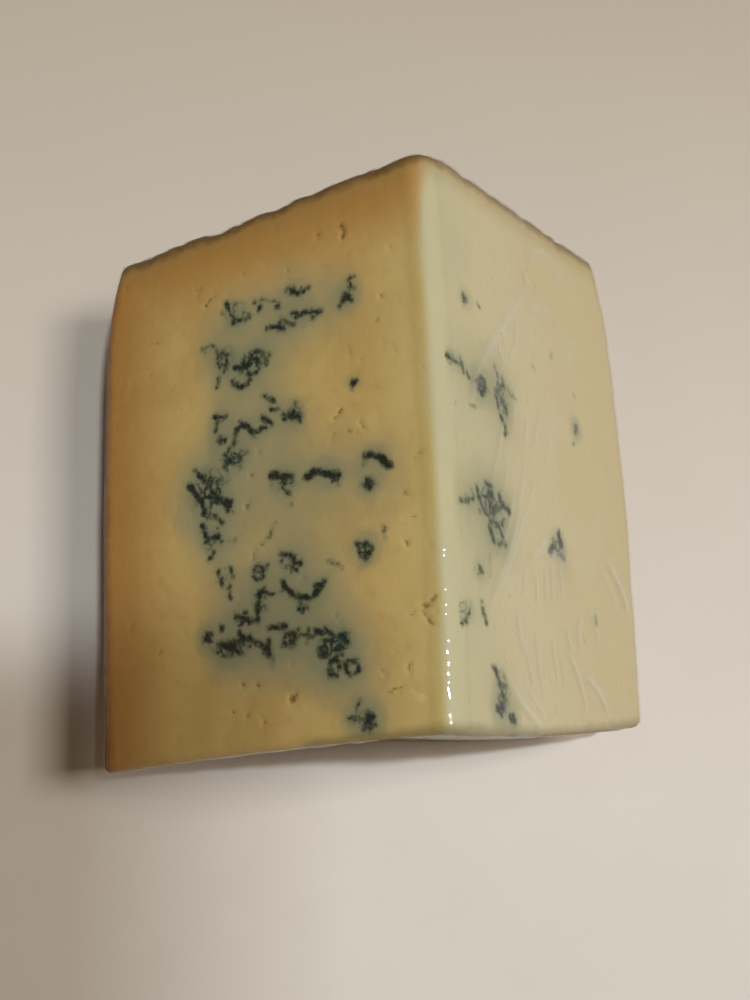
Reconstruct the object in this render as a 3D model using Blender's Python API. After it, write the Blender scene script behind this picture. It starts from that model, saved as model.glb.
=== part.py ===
"""A wedge of blue cheese, cut from a round cheese and wrapped tight in clear film.

The wedge lies on the curved rind of its heel. Its sharp edge, where the two cut faces meet, is uppermost
and runs along Y. The +Y end face is the flat end of the round cheese, and the -Y end face is a cut across it.
The solid is the outside of the film. Lengths are in metres and angles in radians, with +Z up.
"""

import math

import bmesh
import bpy
from mathutils import Vector, noise

# The round cheese and how it was cut
CHEESE_RADIUS = 0.0721  # from the sharp edge to the rind
WEDGE_LENGTH = 0.0925  # along the sharp edge
WEDGE_ANGLE = math.radians(93.0)  # between the two cut faces

# Rounded edges
TIP_ROUND = 0.0044  # the sharp edge, pressed blunt by the film
HEEL_ROUND = 0.0024  # where a cut face meets the rind
RIM_ROUND = 0.0016  # round both end faces

# What hands, knife and shelf have done to the plain shape
BARREL = 0.0013  # the rind is this much nearer the sharp edge at the ends than half way
SHOULDER = 0.0043  # and this much nearer again where it turns in at the +Y end
SHOULDER_START = 0.4  # share of the half length at which the shoulder begins
BOW = 0.0006  # the wedge bows towards +X in the middle of its length
TIP_LEAN = 0.0009  # the sharp edge stands this far towards +X
END_SLANT = 0.044  # rise of the +Y end face for each metre towards +X
END_STEP = 0.0006  # the +Y end face stands this much further out beyond the sharp edge, on the +X side
END_STEP_WIDTH = 0.006  # and comes out over this width
END_DOME = 0.0006  # swelling of the +Y end face
END_DISH = 0.0004  # hollow of the -Y end face, half way down from the sharp edge
FOOT_DROOP = 0.0044  # the -X heel corner sags this far towards -Y
FOOT_CURVE = 1.15  # 1 when the -Y end face leans there evenly, more when only the foot of it does
NEAR_BELLY = 0.0014  # the -Y end face swells this far half way down its +X side
RIND_UNEVEN = 0.0004  # waviness of the rind
RIND_WAVE = 0.016  # length of one such wave

# The flat that the wedge has settled on
FLAT_DEPTH = 0.0010  # how much of the round heel is pressed flat

# Fineness of the mesh
TIP_STEPS = 8
FACE_STEPS = 18
CORNER_STEPS = 4
HEEL_STEPS = 30
LENGTH_STEPS = 24
RIM_STEPS = 3
END_RINGS = 6

HALF_ANGLE = WEDGE_ANGLE / 2
HALF_LENGTH = WEDGE_LENGTH / 2
LEFT_NORMAL = Vector((-math.cos(HALF_ANGLE), math.sin(HALF_ANGLE)))
RIGHT_NORMAL = Vector((math.cos(HALF_ANGLE), math.sin(HALF_ANGLE)))
SECTION_CENTRE = Vector((0, -0.56 * CHEESE_RADIUS))


def srgb(code):
    """Linear colour of an sRGB hex code."""
    channels = [int(code[i : i + 2], 16) / 255 for i in (0, 2, 4)]
    return [c / 12.92 if c <= 0.04045 else ((c + 0.055) / 1.055) ** 2.4 for c in channels] + [1.0]


def turned(direction, angle):
    """A direction in the XZ plane, turned from +X towards +Z."""
    cos, sin = math.cos(angle), math.sin(angle)
    return Vector((direction.x * cos - direction.y * sin, direction.x * sin + direction.y * cos))


def rind_radius(share, angle):
    """Distance of the rind from the sharp edge, where share runs from -1 to 1 along the length and angle
    is measured from straight down."""
    past_shoulder = max(0.0, share - SHOULDER_START) / (1 - SHOULDER_START)
    waves = Vector((math.sin(angle) * CHEESE_RADIUS, share * HALF_LENGTH, 0)) / RIND_WAVE
    uneven = RIND_UNEVEN * noise.noise(waves)
    return CHEESE_RADIUS - BARREL * share**2 - SHOULDER * past_shoulder**3 + uneven


def section(share, inset):
    """Outline of the wedge across its length, as points in the XZ plane from the sharp edge down the -X face,
    round the heel and up the +X face. Inset moves it inwards all round."""
    tip_centre = Vector((0, -TIP_ROUND / math.sin(HALF_ANGLE)))
    corners = {}
    for side, normal in ((-1, LEFT_NORMAL), (1, RIGHT_NORMAL)):
        radius = rind_radius(share, side * HALF_ANGLE) - HEEL_ROUND
        along = math.sqrt(radius**2 - HEEL_ROUND**2)
        down_face = Vector((side * math.sin(HALF_ANGLE), -math.cos(HALF_ANGLE)))
        corners[side] = down_face * along - normal * HEEL_ROUND
    left, right = corners[-1], corners[1]
    left_turn = math.atan2(left.x, -left.y)
    right_turn = math.atan2(right.x, -right.y)
    corner_arc = HALF_ANGLE + left_turn + math.pi / 2

    points = []
    tip_arc = math.pi - WEDGE_ANGLE
    for i in range(TIP_STEPS // 2, TIP_STEPS + 1):
        direction = turned(RIGHT_NORMAL, tip_arc * i / TIP_STEPS)
        points.append(tip_centre + direction * (TIP_ROUND - inset))
    start, end = tip_centre + LEFT_NORMAL * TIP_ROUND, left + LEFT_NORMAL * HEEL_ROUND
    for i in range(1, FACE_STEPS):
        points.append(start.lerp(end, i / FACE_STEPS) - LEFT_NORMAL * inset)
    for i in range(CORNER_STEPS):
        direction = turned(LEFT_NORMAL, corner_arc * i / CORNER_STEPS)
        points.append(left + direction * (HEEL_ROUND - inset))
    for i in range(HEEL_STEPS + 1):
        angle = left_turn + (right_turn - left_turn) * i / HEEL_STEPS
        direction = Vector((math.sin(angle), -math.cos(angle)))
        points.append(direction * (rind_radius(share, angle) - inset))
    for i in range(1, CORNER_STEPS + 1):
        direction = turned(RIGHT_NORMAL, -corner_arc * (1 - i / CORNER_STEPS))
        points.append(right + direction * (HEEL_ROUND - inset))
    start, end = right + RIGHT_NORMAL * HEEL_ROUND, tip_centre + RIGHT_NORMAL * TIP_ROUND
    for i in range(1, FACE_STEPS):
        points.append(start.lerp(end, i / FACE_STEPS) - RIGHT_NORMAL * inset)
    for i in range(TIP_STEPS // 2):
        direction = turned(RIGHT_NORMAL, tip_arc * i / TIP_STEPS)
        points.append(tip_centre + direction * (TIP_ROUND - inset))
    return points


def smooth(value):
    """0 below nought, 1 above one, and an even curve between."""
    value = min(1.0, max(0.0, value))
    return value * value * (3 - 2 * value)


def placed(point, share):
    """Where a point of the plain wedge lies once its ends are slanted, its foot sags and it bows."""
    x, z = point
    depth = point.length / CHEESE_RADIUS
    upper = (share + 1) / 2
    reach = CHEESE_RADIUS * math.sin(HALF_ANGLE)
    left = min(1.0, max(0.0, -x / reach))
    right = min(1.0, max(0.0, x / reach))
    y = share * HALF_LENGTH + upper * (END_SLANT * x + END_STEP * smooth(x / END_STEP_WIDTH))
    y += (1 - upper) * END_DISH * 4 * depth * (1 - depth)
    y -= (1 - upper) * (FOOT_DROOP * left**FOOT_CURVE + NEAR_BELLY * 4 * right * (1 - right))
    x += BOW * (1 - share**2) + TIP_LEAN * max(0.0, 1 - depth) ** 2
    return Vector((x, y, z))


def body_rings():
    """Closed rings of points from the -Y end to the +Y end, rounded at both rims."""
    rings = []
    straight = 1 - RIM_ROUND / HALF_LENGTH
    rim = [math.pi / 2 * i / RIM_STEPS for i in range(RIM_STEPS)]
    stations = [(-1, angle) for angle in reversed(rim[1:] + [math.pi / 2])]
    stations += [(straight * (2 * i / LENGTH_STEPS - 1), 0.0) for i in range(LENGTH_STEPS + 1)]
    stations += [(1, angle) for angle in rim[1:] + [math.pi / 2]]
    for share, angle in stations:
        inset = RIM_ROUND * (1 - math.cos(angle))
        if angle:
            share *= 1 - RIM_ROUND * (1 - math.sin(angle)) / HALF_LENGTH
        rings.append([placed(point, share) for point in section(share, inset)])
    return rings


def end_rings(share, dome):
    """Rings that close an end face, from its rim inwards, and its middle point."""
    outline = section(share, RIM_ROUND)
    rings = []
    for i in range(1, END_RINGS):
        size = 1 - i / END_RINGS
        swell = Vector((0, math.copysign(dome * (1 - size**2), share), 0))
        shrunk = [SECTION_CENTRE.lerp(point, size) for point in outline]
        rings.append([placed(point, share) + swell for point in shrunk])
    middle = placed(SECTION_CENTRE, share) + Vector((0, math.copysign(dome, share), 0))
    return rings, middle


def join_rings(bm, first, second):
    """Quads between two closed rings of as many points."""
    count = len(first)
    for i in range(count):
        j = (i + 1) % count
        bm.faces.new((first[i], first[j], second[j], second[i]))


def close_end(bm, rim, share, dome):
    """The end face inside a rim."""
    rings, middle = end_rings(share, dome)
    last = rim
    for ring in rings:
        row = [bm.verts.new(point) for point in ring]
        join_rings(bm, last, row)
        last = row
    centre = bm.verts.new(middle)
    for i, vert in enumerate(last):
        bm.faces.new((vert, last[(i + 1) % len(last)], centre))


def press_flat(bm):
    """Cuts the lowest part of the heel away level, and closes the cut with one flat face."""
    lowest = min(vert.co.z for vert in bm.verts)
    everything = bm.verts[:] + bm.edges[:] + bm.faces[:]
    cut = bmesh.ops.bisect_plane(
        bm,
        geom=everything,
        plane_co=(0, 0, lowest + FLAT_DEPTH),
        plane_no=(0, 0, -1),
        clear_outer=True,
    )
    border = [item for item in cut["geom_cut"] if isinstance(item, bmesh.types.BMEdge)]
    bmesh.ops.contextual_create(bm, geom=border)


def centre_on_floor(bm):
    """Moves the wedge so that the middle of its base is the origin."""
    low = Vector([min(vert.co[axis] for vert in bm.verts) for axis in range(3)])
    high = Vector([max(vert.co[axis] for vert in bm.verts) for axis in range(3)])
    middle = (low + high) / 2
    bmesh.ops.translate(bm, verts=bm.verts[:], vec=(-middle.x, -middle.y, -low.z))


def wedge_mesh():
    bm = bmesh.new()
    rows = [[bm.verts.new(point) for point in ring] for ring in body_rings()]
    for first, second in zip(rows, rows[1:]):
        join_rings(bm, first, second)
    close_end(bm, rows[0], -1, 0.0)
    close_end(bm, rows[-1], 1, END_DOME)
    press_flat(bm)
    centre_on_floor(bm)
    bmesh.ops.recalc_face_normals(bm, faces=bm.faces[:])
    mesh = bpy.data.meshes.new("cheese_wedge")
    bm.to_mesh(mesh)
    bm.free()
    mesh.shade_smooth()
    mesh.set_sharp_from_angle(angle=math.radians(40))
    return mesh


def cheese_material():
    """Pale yellow paste under glossy film."""
    material = bpy.data.materials.new("blue_cheese_in_film")
    material.use_nodes = True
    shader = material.node_tree.nodes["Principled BSDF"]
    shader.inputs["Base Color"].default_value = srgb("C9B283")
    shader.inputs["Roughness"].default_value = 0.3
    shader.inputs["Metallic"].default_value = 0.0
    return material


def main():
    for leftover in list(bpy.data.objects):
        bpy.data.objects.remove(leftover)
    wedge = bpy.data.objects.new("cheese_wedge", wedge_mesh())
    wedge.data.materials.append(cheese_material())
    bpy.context.scene.collection.objects.link(wedge)


main()
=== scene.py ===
# %% [markdown]
# # A wedge of blue cheese in cling film
#
# The real thing is two pieces: a wedge cut from a small round blue cheese, and the clear film wrapped tight round
# it. The cheese lies on its rind with the sharp edge up, and the film has been pulled together at the ends.
#
# This file is read from top to bottom. Each step says first what the real piece is, then builds it. The solid of
# the wedge is loaded as a fixed frame, and its two visible pieces are made round that solid.

import math
import random

import bpy
import numpy as np
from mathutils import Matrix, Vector, noise


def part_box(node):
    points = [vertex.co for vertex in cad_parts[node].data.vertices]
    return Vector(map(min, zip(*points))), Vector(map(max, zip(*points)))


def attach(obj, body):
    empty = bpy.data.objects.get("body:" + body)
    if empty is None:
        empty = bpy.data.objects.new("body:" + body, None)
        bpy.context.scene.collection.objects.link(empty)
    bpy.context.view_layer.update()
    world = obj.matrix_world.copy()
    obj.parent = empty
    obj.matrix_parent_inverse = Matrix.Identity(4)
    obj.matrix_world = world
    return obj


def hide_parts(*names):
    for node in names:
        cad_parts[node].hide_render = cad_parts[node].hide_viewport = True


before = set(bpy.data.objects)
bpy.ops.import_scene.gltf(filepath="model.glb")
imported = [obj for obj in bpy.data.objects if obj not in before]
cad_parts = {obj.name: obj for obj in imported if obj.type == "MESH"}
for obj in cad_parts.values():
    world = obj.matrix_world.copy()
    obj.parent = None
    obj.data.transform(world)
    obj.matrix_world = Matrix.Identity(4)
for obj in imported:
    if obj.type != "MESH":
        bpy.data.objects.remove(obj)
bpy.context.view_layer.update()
box_low, box_high = (np.array(corner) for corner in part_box("cheese_wedge"))
print("solid wedge, mm:", np.round((box_high - box_low) * 1000, 1))

# %% [markdown]
# ## Two helpers
#
# Colours are written as sRGB hex codes, as in any paint program. Blender's shaders count in linear light, so one
# function turns the codes. Materials are networks of nodes, and one function adds a node with its settings and
# its links, so that each material below reads as a list of steps.

# %% Colour and node helpers
MM = 0.001


def linear(code):
    """Linear colour of an sRGB hex code."""
    channels = [int(code[i : i + 2], 16) / 255 for i in (0, 2, 4)]
    return [c / 12.92 if c <= 0.04045 else ((c + 0.055) / 1.055) ** 2.4 for c in channels] + [1.0]


def add(tree, kind, inputs=None, **settings):
    """Adds a shader node. Inputs are values, or sockets to link, by the name or number of the input."""
    node = tree.nodes.new("ShaderNode" + kind)
    for name, value in settings.items():
        setattr(node, name, value)
    for key, value in (inputs or {}).items():
        if isinstance(value, bpy.types.NodeSocket):
            tree.links.new(value, node.inputs[key])
        else:
            node.inputs[key].default_value = value
    return node


def new_material(name):
    """An empty material, with its node tree and its output node."""
    material = bpy.data.materials.new(name)
    material.use_nodes = True
    material.node_tree.nodes.clear()
    return material, material.node_tree, add(material.node_tree, "OutputMaterial")


# %% [markdown]
# ## Camera
#
# The wedge is seen from almost straight above, leaning a little to the left and to the near end, from about 16 cm
# over the sharp edge. That close, the top looks much larger than the foot, so the lens has to be a normal one.

# %% Camera
CAMERA_PLACE = Vector((-0.0414, -0.0451, 0.2257))
CAMERA_TURN = (12.63, -10.82, -2.59)
CAMERA_LENS = 39.6

camera_data = bpy.data.cameras.new("camera")
camera_data.lens = CAMERA_LENS
camera_data.sensor_width = 36
camera_data.clip_start = 0.01
camera = bpy.data.objects.new("camera", camera_data)
camera.location = CAMERA_PLACE
camera.rotation_euler = [math.radians(degrees) for degrees in CAMERA_TURN]
bpy.context.scene.collection.objects.link(camera)
bpy.context.scene.camera = camera
print("camera height above the sharp edge, mm:", round((CAMERA_PLACE.z - box_high[2]) * 1000))

# %% [markdown]
# ## Floor and light
#
# Two lamps hang over the table. A small one is straight above and draws the thin bright line on the film. A wide
# one stands further to the right, so the right cut face is bright, the left one is in half shade, and a soft
# shadow falls to the left. A card clipped under the small lamp keeps its light off the near left corner, which
# leaves that corner dim. The wide one stands in for the light of a whole wall, so it makes no line of its own. The
# room round them is warm and dim, and so are the shadows. The floor colour is painted darker towards the far
# side, as painted shade for light that falls off there.

# %% Floor
FLOOR_SIZE = 1.6
FLOOR_DROP = 0.05 * MM


def flat_square(name, width, depth):
    """A level rectangle round its own origin."""
    mesh = bpy.data.meshes.new(name)
    x, y = width / 2, depth / 2
    mesh.from_pydata([(-x, -y, 0), (x, -y, 0), (x, y, 0), (-x, y, 0)], [], [(0, 1, 2, 3)])
    square = bpy.data.objects.new(name, mesh)
    bpy.context.scene.collection.objects.link(square)
    return square


floor = flat_square("floor", FLOOR_SIZE, FLOOR_SIZE)
floor.location.z = -FLOOR_DROP

floor_paint, tree, output = new_material("pale_matt_laminate")
place = add(tree, "TexCoord").outputs["Object"]
cloudy = add(tree, "TexNoise", {"Vector": place, "Scale": 1 / (25 * MM), "Detail": 3.0})
inputs = {0: cloudy.outputs[0], 6: linear("D9D2C8"), 7: linear("E0D9D0")}
tone = add(tree, "Mix", inputs, data_type="RGBA").outputs[2]
# Painted shade: the floor colour grows darker towards the far side, standing in for light that falls off there.
forth = add(tree, "SeparateXYZ", {0: place}).outputs["Y"]
painted_far_shade = add(tree, "MapRange", {"Value": forth, "From Min": -60 * MM, "From Max": 140 * MM}).outputs[0]
tone = add(tree, "Mix", {0: painted_far_shade, 6: tone, 7: linear("BFB4A1")}, data_type="RGBA").outputs[2]
surface = add(tree, "BsdfPrincipled", {"Base Color": tone, "Roughness": 0.75})
tree.links.new(surface.outputs[0], output.inputs["Surface"])
floor.data.materials.append(floor_paint)

# %% Lamps and sky
LAMPS = {
    # name: way to the lamp, distance in metres, width and depth in metres, watts, colour, whether it can be seen
    # mirrored in the film
    "lamp_above": ((0.04, 0.01, 0.98), 0.80, 0.018, 0.050, 3.0, "EFF7FF", True),
    "lamp_right": ((0.42, 0.03, 0.90), 0.90, 0.20, 0.30, 4.0, "FFFBF4", False),
}
SKY = "F0C9A2"
SKY_STRENGTH = 0.14

middle = Vector((box_low + box_high) / 2)
for name, (way, distance, width, depth, watts, colour, shows) in LAMPS.items():
    lamp_data = bpy.data.lights.new(name, "AREA")
    lamp_data.shape = "RECTANGLE"
    lamp_data.size = width
    lamp_data.size_y = depth
    lamp_data.energy = watts
    lamp_data.color = linear(colour)[:3]
    lamp = bpy.data.objects.new(name, lamp_data)
    lamp.location = middle + Vector(way).normalized() * distance
    lamp.rotation_euler = Vector(way).to_track_quat("Z", "Y").to_euler()
    lamp.visible_glossy = shows
    bpy.context.scene.collection.objects.link(lamp)
    print(name, "at", [round(c, 2) for c in lamp.location])

sky = bpy.data.worlds.new("room")
sky.use_nodes = True
sky.node_tree.nodes["Background"].inputs["Color"].default_value = linear(SKY)
sky.node_tree.nodes["Background"].inputs["Strength"].default_value = SKY_STRENGTH
bpy.context.scene.world = sky
bpy.context.scene.view_settings.view_transform = "Standard"

# %% Card under the small lamp
CARD_HEIGHT = 0.43
CARD_SIZE = 0.16
SHADE_CORNER = Vector((-0.032, -0.026, 0))  # where the corner of its shadow falls on the floor

lamp_place = bpy.data.objects["lamp_above"].location
up = CARD_HEIGHT / lamp_place.z
card = flat_square("card", CARD_SIZE, CARD_SIZE)
card.location = SHADE_CORNER.lerp(lamp_place, up) - Vector((CARD_SIZE / 2, CARD_SIZE / 2, 0))

# %% [markdown]
# ## The form of the wedge
#
# A wedge is the sector of a round cheese. Its outline across the length is two straight cut faces that meet in a
# blunted sharp edge, and the arc of the rind. The same outline, repeated along the length and shrunk a little at
# the rims, gives the whole body. The solid was made in this way with few faces, so the same sizes and formulas
# give a much finer skin that lies exactly on it. A skin can also be set a little further in, for the cheese
# under its film.

# %% Sizes of the wedge
CHEESE_RADIUS = 0.0721
HALF_LENGTH = 0.0925 / 2
HALF_ANGLE = math.radians(93.0) / 2
TIP_ROUND = 0.0044
HEEL_ROUND = 0.0024
RIM_ROUND = 0.0016
BARREL = 0.0013
SHOULDER = 0.0043
SHOULDER_START = 0.4
BOW = 0.0006
TIP_LEAN = 0.0009
END_SLANT = 0.044
END_STEP = 0.0006
END_STEP_WIDTH = 0.006
END_DOME = 0.0006
END_DISH = 0.0004
FOOT_DROOP = 0.0044
FOOT_CURVE = 1.15
NEAR_BELLY = 0.0014
RIND_UNEVEN = 0.0004
RIND_WAVE = 0.016
SECTION_CENTRE = np.array((0.0, -0.56 * CHEESE_RADIUS))
LEFT_FACES = math.pi - HALF_ANGLE  # the way the left cut face looks, as an angle from +X
RIGHT_FACES = HALF_ANGLE


def rind_radius(share, angle):
    """Distance of the rind from the sharp edge. Share runs from -1 to 1 along the length."""
    past_shoulder = max(0.0, share - SHOULDER_START) / (1 - SHOULDER_START)
    waves = Vector((math.sin(angle) * CHEESE_RADIUS, share * HALF_LENGTH, 0)) / RIND_WAVE
    return CHEESE_RADIUS - BARREL * share**2 - SHOULDER * past_shoulder**3 + RIND_UNEVEN * noise.noise(waves)


# %% Outline across the length
def arc(centre, radius, start, end, steps):
    turn = np.linspace(start, end, steps, endpoint=False)
    return centre + radius * np.stack((np.cos(turn), np.sin(turn)), axis=1)


def line(start, end, steps):
    share = np.linspace(0, 1, steps, endpoint=False)[:, None]
    return start + (end - start) * share


def outline(share, inset, steps):
    """Points from the sharp edge down the left face, round the heel and up the right face, as rows of (x, z)."""
    tip = np.array((0, -TIP_ROUND / math.sin(HALF_ANGLE)))
    looks = {side: np.array((math.cos(a), math.sin(a))) for side, a in ((-1, LEFT_FACES), (1, RIGHT_FACES))}
    corner = {}
    for side, normal in looks.items():
        reach = rind_radius(share, side * HALF_ANGLE) - HEEL_ROUND
        down_face = np.array((side * math.sin(HALF_ANGLE), -math.cos(HALF_ANGLE)))
        corner[side] = down_face * math.sqrt(reach**2 - HEEL_ROUND**2) - normal * HEEL_ROUND
    turn = {side: math.atan2(place[0], -place[1]) for side, place in corner.items()}
    tip_round, heel_round = TIP_ROUND - inset, HEEL_ROUND - inset
    foot = {side: corner[side] + looks[side] * heel_round for side in looks}
    brow = {side: tip + looks[side] * tip_round for side in looks}
    heel_turns = np.linspace(turn[-1], turn[1], steps["heel"], endpoint=False)
    heel = [(math.sin(a), -math.cos(a)) for a in heel_turns]
    reaches = [rind_radius(share, a) - inset for a in heel_turns]
    return np.concatenate(
        (
            arc(tip, tip_round, math.pi / 2, LEFT_FACES, steps["tip"]),
            line(brow[-1], foot[-1], steps["left"]),
            arc(corner[-1], heel_round, LEFT_FACES, 1.5 * math.pi + turn[-1], steps["corner"]),
            np.array(heel) * np.array(reaches)[:, None],
            arc(corner[1], heel_round, turn[1] - math.pi / 2, RIGHT_FACES, steps["corner"]),
            line(foot[1], brow[1], steps["right"]),
            arc(tip, tip_round, RIGHT_FACES, math.pi / 2, steps["tip"]),
        )
    )


# %% Where a point of the plain wedge lies
def smooth(value):
    """0 below nought, 1 above one, and an even curve between."""
    value = np.clip(value, 0, 1)
    return value * value * (3 - 2 * value)


def placed(points, share, swell=0.0):
    """The points of an outline in space, once the ends slant, the foot sags and the wedge bows."""
    x, z = points[:, 0], points[:, 1]
    depth = np.hypot(x, z) / CHEESE_RADIUS
    upper = (share + 1) / 2
    reach = CHEESE_RADIUS * math.sin(HALF_ANGLE)
    left, right = np.clip(-x / reach, 0, 1), np.clip(x / reach, 0, 1)
    y = share * HALF_LENGTH + upper * (END_SLANT * x + END_STEP * smooth(x / END_STEP_WIDTH)) + swell
    y = y + (1 - upper) * END_DISH * 4 * depth * (1 - depth)
    y = y - (1 - upper) * (FOOT_DROOP * left**FOOT_CURVE + NEAR_BELLY * 4 * right * (1 - right))
    moved = x + BOW * (1 - share**2) + TIP_LEAN * np.maximum(0, 1 - depth) ** 2
    return np.stack((moved, y, z), axis=1)


def stations(inset, pitch, rim_steps):
    """Places along the length, from the near end to the far end, as (share, inset, angle round the rim)."""
    rim = RIM_ROUND - inset
    straight = HALF_LENGTH - RIM_ROUND
    rounds = [math.pi / 2 * i / rim_steps for i in range(1, rim_steps + 1)]
    count = round(2 * straight / pitch)
    rows = [(-straight - rim * math.sin(a), a) for a in reversed(rounds)]
    rows += [(straight * (2 * i / count - 1), 0.0) for i in range(count + 1)]
    rows += [(straight + rim * math.sin(a), a) for a in rounds]
    return [(y / HALF_LENGTH, RIM_ROUND - rim * math.cos(a) if a else inset, a) for y, a in rows]


# %% A skin on the wedge
def wedge_skin(inset, pitch, steps, rings, rim_steps=3):
    """The points of a skin that lies inside the solid by inset: its body as rows of outlines, and the rings and the
    middle that close each end."""
    along = stations(inset, pitch, rim_steps)
    body = np.array([placed(outline(share, deep, steps), share) for share, deep, _ in along])
    ends = []
    for (share, deep, _), count, dome in ((along[0], rings[0], 0.0), (along[-1], rings[1], END_DOME)):
        rim = outline(share, deep, steps)
        sign = math.copysign(1, share)
        rows = []
        for i in range(1, count + 1):
            size = 1 - i / count
            rows.append(placed(SECTION_CENTRE + (rim - SECTION_CENTRE) * size, share, sign * dome * (1 - size**2)))
        ends.append(np.concatenate(rows[:-1] + [rows[-1][:1]]))
    return body, ends, [a for _, _, a in along]


# %% [markdown]
# The solid has been moved so that the middle of its box is the origin, and the lowest half millimetre of the heel is
# pressed flat. The plain form is moved in the same way, and what would sink below the flat is lifted onto it.

# %% Move a skin into the frame
COARSE = {"tip": 8, "left": 40, "corner": 6, "heel": 60, "right": 40}

trial_body, trial_ends, _ = wedge_skin(0.0, 2 * MM, COARSE, (4, 4))
trial = np.concatenate([trial_body.reshape(-1, 3)] + trial_ends)
FORM_SHIFT = (box_low + box_high - trial.min(axis=0) - trial.max(axis=0)) / 2
FORM_SHIFT[2] = box_high[2] - trial[:, 2].max()
SHARP_EDGE = FORM_SHIFT[[0, 2]] + np.array((TIP_LEAN + BOW / 2, 0))
print("form moved by, mm:", np.round(FORM_SHIFT * 1000, 2))


def across_of(points):
    """Distance of points from the sharp edge, in millimetres."""
    return np.hypot(points[:, 0] - SHARP_EDGE[0], points[:, 2] - SHARP_EDGE[1]) / MM


MIDDLE_ALONG = 0.46  # where the middle of the plain form is, in millimetres along


def along_of(points):
    """Distance of points along the sharp edge, in millimetres."""
    return (points[:, 1] - FORM_SHIFT[1]) / MM + MIDDLE_ALONG


def beside_of(points):
    """Distance of points from the middle of the rounded edge, in millimetres down the faces, to the left negative."""
    bowed = SHARP_EDGE[0] + BOW * (0.5 - (along_of(points) * MM / HALF_LENGTH) ** 2)
    return (points[:, 0] - bowed) / math.sin(HALF_ANGLE) / MM


# %% Turn a skin into a mesh
MAP_SIZE = 1024  # dots along a side of a texture
MAP_DENSITY = 6.0  # dots for each millimetre of a cut face
HEEL_SHARE = 0.58  # how much coarser the rind is kept
END_SHARE = 0.48  # and the end faces
FACE_CORNERS = np.array(((8, 8), (8, 590), (460, 8)))  # left face, heel and right face on the map, in dots
END_CORNERS = np.array(((480, 585), (480, 800)))


def ring_faces(first, second):
    """Quads between two closed rings of point numbers."""
    return np.stack((first, second, np.roll(second, -1), np.roll(first, -1)), axis=1)


def body_map(body, steps):
    """Where the corners of each quad of the body lie on the texture, row by row."""
    rows, count = body.shape[:2]
    ring = body[rows // 2]
    around = np.linalg.norm(np.roll(ring, -1, axis=0) - ring, axis=1).cumsum() / MM
    around = np.concatenate(([0], around))
    length = np.linalg.norm(np.diff(body[:, 0], axis=0), axis=1).cumsum() / MM
    length = np.concatenate(([0], length))
    heel_start = steps["tip"] + steps["left"] + steps["corner"]
    heel_end = heel_start + steps["heel"]
    block = np.digitize(np.arange(count), (heel_start, heel_end))
    start = around[[0, heel_start, heel_end]][block]
    scale = np.array((1.0, HEEL_SHARE, 1.0))[block] * MAP_DENSITY
    maps = []
    for j in range(rows - 1):
        u = np.stack((around[:-1], around[:-1], around[1:], around[1:]), axis=1) - start[:, None]
        v = np.tile(length[[j, j + 1, j + 1, j]], (count, 1))
        maps.append(np.stack((u, v), axis=2) * scale[:, None, None] + FACE_CORNERS[block][:, None, :])
    return maps


def skin_mesh(name, body, ends, steps):
    """A closed mesh from a skin, with a flat map of it for textures."""
    rows, count = body.shape[:2]
    points = np.concatenate((body.reshape(-1, 3), *ends)) + FORM_SHIFT
    points[:, 2] = np.maximum(points[:, 2], 0)
    grid = np.arange(rows * count).reshape(rows, count)
    blocks = [ring_faces(grid[j], grid[j + 1]) for j in range(rows - 1)]
    maps = body_map(body, steps)
    start = rows * count
    for end, outer in enumerate((grid[0], grid[-1])):
        flat = (points[:, [0, 2]] - box_low[[0, 2]]) / MM * END_SHARE * MAP_DENSITY + END_CORNERS[end]
        middle_point = start + len(ends[end]) - 1
        for first in range(start, middle_point, count):
            inner = np.arange(first, first + count)
            blocks.append(ring_faces(inner, outer) if end == 0 else ring_faces(outer, inner))
            maps.append(flat[blocks[-1]])
            outer = inner
        near = outer if end == 1 else np.roll(outer, -1)
        far = np.roll(outer, -1) if end == 1 else outer
        blocks.append(np.stack((near, np.full(count, middle_point), far), axis=1))
        maps.append(flat[blocks[-1]])
        start = middle_point + 1
    mesh = bpy.data.meshes.new(name)
    mesh.from_pydata(points, [], [face for faces in blocks for face in faces.tolist()])
    spots = np.concatenate([spot.reshape(-1, 2) for spot in maps]) / MAP_SIZE
    mesh.uv_layers.new(name="OFBake").data.foreach_set("uv", spots.astype(np.float32).ravel())
    mesh.shade_smooth()
    return mesh


def points_of(mesh):
    """The points of a mesh, and the way it faces at each."""
    found = np.empty((2, len(mesh.vertices), 3), np.float32)
    mesh.vertices.foreach_get("co", found[0].ravel())
    mesh.vertex_normals.foreach_get("vector", found[1].ravel())
    return found[0].astype(float), found[1].astype(float)


def write_points(mesh, points):
    mesh.vertices.foreach_set("co", points.astype(np.float32).ravel())
    mesh.update()


def write_layer(mesh, name, values):
    """Keeps one number at each point, for the material to read."""
    mesh.attributes.new(name, "FLOAT", "POINT").data.foreach_set("value", values.astype(np.float32))


# %% [markdown]
# The far rim and the heel edges are where rind and paste meet, and the knife and the fingers have left them uneven:
# a few listed notches, and small bumps between them. The notches are cut into the cheese and its film alike.

# %% Uneven rims
NOTCHES = [
    # millimetres from the sharp edge (to the left negative), depth and half width of a notch in the far rim
    (-43.0, 0.9, 2.6), (-37.5, 0.45, 3.5), (-30.0, 0.6, 2.4), (-22.5, 0.3, 1.6), (-9.0, 0.25, 1.6), (-60.0, 0.3, 3.0),
    (4.0, 0.3, 1.5), (13.5, 0.35, 1.4), (22.0, 0.25, 1.5), (34.0, 0.4, 1.6), (44.0, 0.3, 1.8), (49.0, 0.6, 1.2),
]
RIM_BUMPS = 0.20  # millimetres
RIM_BUMP_LENGTH = 2.2
RIM_BAND = 6.0  # the unevenness fades out over this many millimetres from the rim
HEEL_EDGE = 67.5
HEEL_BUMPS = 0.35


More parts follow.
